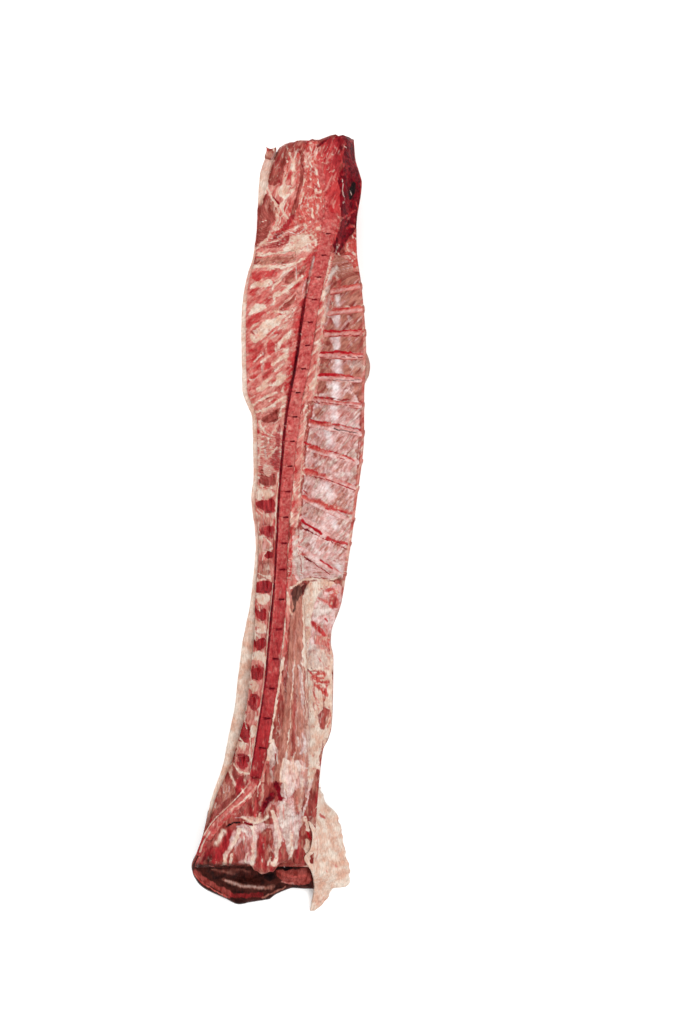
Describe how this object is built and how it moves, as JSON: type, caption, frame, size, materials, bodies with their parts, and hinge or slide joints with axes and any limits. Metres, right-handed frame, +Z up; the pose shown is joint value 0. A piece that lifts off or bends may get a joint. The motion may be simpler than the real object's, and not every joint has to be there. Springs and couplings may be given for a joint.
{
  "type": "raw pork loin",
  "caption": "Whole raw bone-in pork loin lying on its fat, sawn along the spine, with the vertebrae, ribs and tenderloin showing on top.",
  "frame": {"origin": "middle of the loin's bounding box in plan, on the surface that its fat side rests on", "axes": "+Y towards the neck end, +Z up from the fat side to the sawn side with the spine, +X towards the sawn ends of the ribs"},
  "size_m": [0.2302, 1.0076, 0.087],
  "materials": {
    "meat": "moist red-brown lean pork, satin with wet highlights",
    "fat": "cream to pink pork fat, soft satin",
    "bone": "sawn spongy bone, red to pink, moist",
    "rib": "pink rib under thin membrane, moist",
    "tenderloin": "pink-brown tenderloin under thin silvery membrane, moist"
  },
  "bodies": {
    "root": {"lean_meat": "meat", "back_fat": "fat", "tenderloin": "tenderloin", "vertebra_01": "bone", "vertebra_02": "bone", "vertebra_03": "bone", "vertebra_04": "bone", "vertebra_05": "bone", "vertebra_06": "bone", "vertebra_07": "bone", "vertebra_08": "bone", "vertebra_09": "bone", "vertebra_10": "bone", "vertebra_11": "bone", "vertebra_12": "bone", "vertebra_13": "bone", "vertebra_14": "bone", "vertebra_15": "bone", "vertebra_16": "bone", "vertebra_17": "bone", "vertebra_18": "bone", "vertebra_19": "bone", "vertebra_20": "bone", "vertebra_21": "bone", "vertebra_22": "bone", "vertebra_23": "bone", "vertebra_24": "bone", "vertebra_25": "bone", "sacrum": "bone", "spinous_process_01": "bone", "spinous_process_02": "bone", "spinous_process_03": "bone", "spinous_process_04": "bone", "spinous_process_05": "bone", "spinous_process_06": "bone", "spinous_process_07": "bone", "spinous_process_08": "bone", "spinous_process_09": "bone", "spinous_process_10": "bone", "spinous_process_11": "bone", "spinous_process_12": "bone", "spinous_process_13": "bone", "spinous_process_14": "bone", "spinous_process_15": "bone", "spinous_process_16": "bone", "rib_01": "rib", "rib_02": "rib", "rib_03": "rib", "rib_04": "rib", "rib_05": "rib", "rib_06": "rib", "rib_07": "rib", "rib_08": "rib", "rib_09": "rib", "rib_10": "rib", "rib_11": "rib", "rib_12": "rib"}
  },
  "joints": []
}
